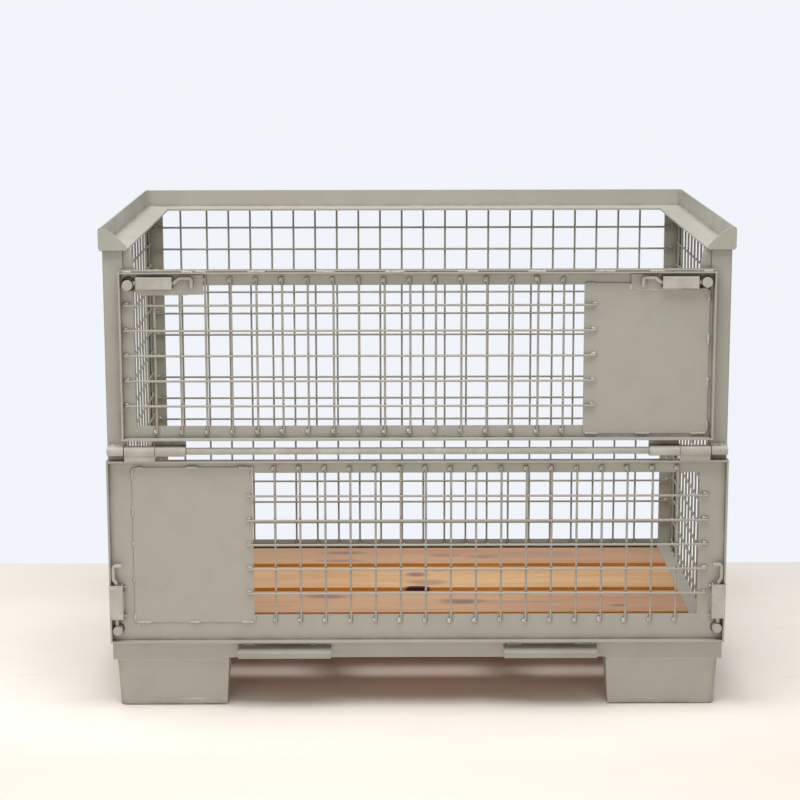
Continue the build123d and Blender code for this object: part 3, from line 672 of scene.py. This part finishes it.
def base_seams():
    """Welds of the fixed frame: feet, fork guards, saddles, rail corners and end plates."""
    beads = Beads("weld_seams_base", "base", 23)
    for side, word in SIDES.items():
        for end, back in (("front", -1), ("back", 1)):
            low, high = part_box(f"foot_{end}_{word}")
            face_y = (low.y if back < 0 else high.y) - back * 0.4 * MM
            face_x = (high.x if side > 0 else low.x) - side * 0.4 * MM
            z = high.z - 0.6 * MM
            beads.run((low.x + 5 * MM, face_y, z), (high.x - 5 * MM, face_y, z),
                      (0, back, -0.6), 4.0 * MM, 1.5 * MM, 0.6)
            beads.run((face_x, low.y + 8 * MM, z), (face_x, high.y - 8 * MM, z),
                      (side, 0, -0.6), 3.4 * MM, 1.5 * MM)

        low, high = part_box(f"fork_guard_{word}")
        spans = ((10, 35), (143, 156)) if side < 0 else ((7, 37), (142, 182))
        stitches(beads, (low.x, FRONT_POST_Y, high.z), (high.x, FRONT_POST_Y, high.z), FRONT + UP, spans,
                 width=5.6 * MM, height=2.6 * MM, rough=0.5)

        outer, inner = side * 611 * MM, side * 580 * MM
        for z, way in ((540 * MM, 1), (521 * MM, -1)):
            beads.run((inner, SADDLE_FOOT_Y, z), (outer, SADDLE_FOOT_Y, z), FRONT + way * UP,
                      4 * MM, 1.8 * MM)
        beads.blob((side * 600 * MM, -403 * MM, 540 * MM), (8 * MM, 4.2 * MM, 2.2 * MM))

        beads.run((side * 564 * MM, 361.5 * MM, LEDGE_Z), (side * 615.5 * MM, 413 * MM, LEDGE_Z),
                  UP, 4.4 * MM, 0.8 * MM)
        beads.run((side * 616 * MM, 413.5 * MM, LEDGE_Z), (side * 616 * MM, 413.5 * MM, 968 * MM),
                  (-side, -1, 0), 4.4 * MM, 1.3 * MM)
        beads.run((side * 566 * MM, RAIL_FRONT_Y, LEDGE_Z), (side * 614 * MM, RAIL_FRONT_Y, LEDGE_Z),
                  UP + BACK, 4 * MM, 1.6 * MM)
        beads.run((side * 616 * MM, RAIL_FRONT_Y, 934 * MM), (side * 616 * MM, RAIL_FRONT_Y, 966 * MM),
                  (-side, 1, 0), 4 * MM, 1.6 * MM)
        beads.blob((side * 614 * MM, -399.5 * MM, 928.5 * MM), (4.5 * MM, 2.4 * MM, 2.6 * MM))

        for y in (-390 * MM, 404 * MM):
            beads.run((side * 582 * MM, y, RAIL_FOOT_Z), (side * 611 * MM, y, RAIL_FOOT_Z),
                      (0, -1, -0.8), 3.6 * MM, 1.4 * MM)
        for y0, y1 in ((-386, -350), (-330, -316), (334, 360), (378, 402)):
            beads.run((side * 613.8 * MM, y0 * MM, RAIL_FOOT_Z), (side * 613.8 * MM, y1 * MM, RAIL_FOOT_Z),
                      (side, 0, -1), 3.8 * MM, 1.6 * MM)
    beads.finish()


base_seams()


# ---- studio ---------------------------------------------------------------------------------
FLOOR_HALF = 60.0
FILL = 0.19
HALO = 0.11             # the floor glows a little away from the container, as under a wide light
HALO_X = 0.62           # half the container's width
HALO_Y = 0.42           # half its depth
FLOOR_FADE = (1.2, 3.2)  # from here outwards the floor fades into the backdrop on every side
SOFTNESS = 0.006        # half the width of the line between the two tones
FLOOR_BREAK = 0.71      # behind here the floor takes the pale tone of the studio's backdrop


def make_floor():
    """A wide pale floor, cream under and before the container and paler behind it."""
    mesh = bmesh.new()
    corners = ((-1, -1), (1, -1), (1, 1), (-1, 1))
    mesh.faces.new([mesh.verts.new((FLOOR_HALF * x, FLOOR_HALF * y, 0.0)) for x, y in corners])
    data = bpy.data.meshes.new("studio_floor")
    mesh.to_mesh(data)
    mesh.free()
    material, tree, bsdf, place = new_material("studio_floor_cream")
    x, y, _ = axes(tree, place)
    away = across(tree, calc(tree, "DIVIDE", x, HALO_X), calc(tree, "DIVIDE", y, HALO_Y))
    cloud = noise_at(tree, place, 3.0, 4.0, 0.6)
    scuff = noise_at(tree, stretched(tree, place, (4.0, 30.0, 1.0)), 1.0, 5.0, 0.7)
    cream = mix(tree, span(tree, cloud, 0.4, 0.7, 0.0, 0.35), FLOOR_CREAM, FLOOR_WARM)
    cream = mix(tree, span(tree, scuff, 0.55, 0.8, 0.0, 0.18), cream, FLOOR_SCUFF)
    cream = mix(tree, span(tree, away, 0.75, 1.0, 0.6, 0.0), cream, FLOOR_SHADE)
    # painted shade: the floor in front of the container is darkened against the top light's pool there
    cream = mix(tree, span(tree, y, -0.78, -0.45, 0.8, 0.0), cream, FLOOR_FRONT_SHADE)
    far = span(tree, y, FLOOR_BREAK - SOFTNESS, FLOOR_BREAK + SOFTNESS)
    reach = add(tree, "ShaderNodeVectorMath", {0: place}, operation="LENGTH").outputs["Value"]
    wide = span(tree, reach, *FLOOR_FADE)
    seen = add(tree, "ShaderNodeLightPath").outputs["Is Camera Ray"]
    shown = calc(tree, "MAXIMUM", far, calc(tree, "MULTIPLY", wide, seen))
    tree.links.new(mix(tree, shown, cream, BLACK), bsdf.inputs["Base Color"])
    bsdf.inputs["Roughness"].default_value = 0.75
    bsdf.inputs["Specular IOR Level"].default_value = 0.0
    tone = mix(tree, calc(tree, "MAXIMUM", far, wide), FLOOR_CREAM, BACKDROP)
    tree.links.new(tone, bsdf.inputs["Emission Color"])
    halo = span(tree, away, 1.0, 1.7, 0.0, HALO)
    tree.links.new(calc(tree, "MAXIMUM", shown, halo), bsdf.inputs["Emission Strength"])
    data.materials.append(material)
    floor = bpy.data.objects.new("studio_floor", data)
    bpy.context.scene.collection.objects.link(floor)


def make_light(name, place, target, size, power):
    """A soft white rectangular light that the camera doesn't see."""
    data = bpy.data.lights.new(name, "AREA")
    data.shape = "RECTANGLE"
    data.size, data.size_y = size
    data.energy = power
    light = bpy.data.objects.new(name, data)
    light.location = place
    light.visible_camera = False
    light.rotation_euler = (Vector(target) - Vector(place)).to_track_quat("-Z", "Y").to_euler()
    bpy.context.scene.collection.objects.link(light)


def make_world():
    """An even pale room: bright where it is seen, and a low fill where it only lights."""
    world = bpy.data.worlds.new("studio_world")
    world.use_nodes = True
    tree = world.node_tree
    seen = add(tree, "ShaderNodeLightPath").outputs["Is Camera Ray"]
    glow = tree.nodes["Background"]
    glow.inputs["Color"].default_value = BACKDROP
    tree.links.new(calc(tree, "ADD", calc(tree, "MULTIPLY", seen, 1.0 - FILL), FILL), glow.inputs["Strength"])
    bpy.context.scene.world = world


make_floor()
make_world()
make_light("softbox_top", (-0.2, -0.7, 3.3), (0, -0.1, 0.3), (3.4, 2.8), 130)
make_light("softbox_front", (-0.3, -2.3, 0.9), (0, -0.2, 0.5), (3.2, 1.2), 11.5)
bpy.context.scene.view_settings.view_transform = "Standard"
bpy.context.scene.view_settings.look = "None"
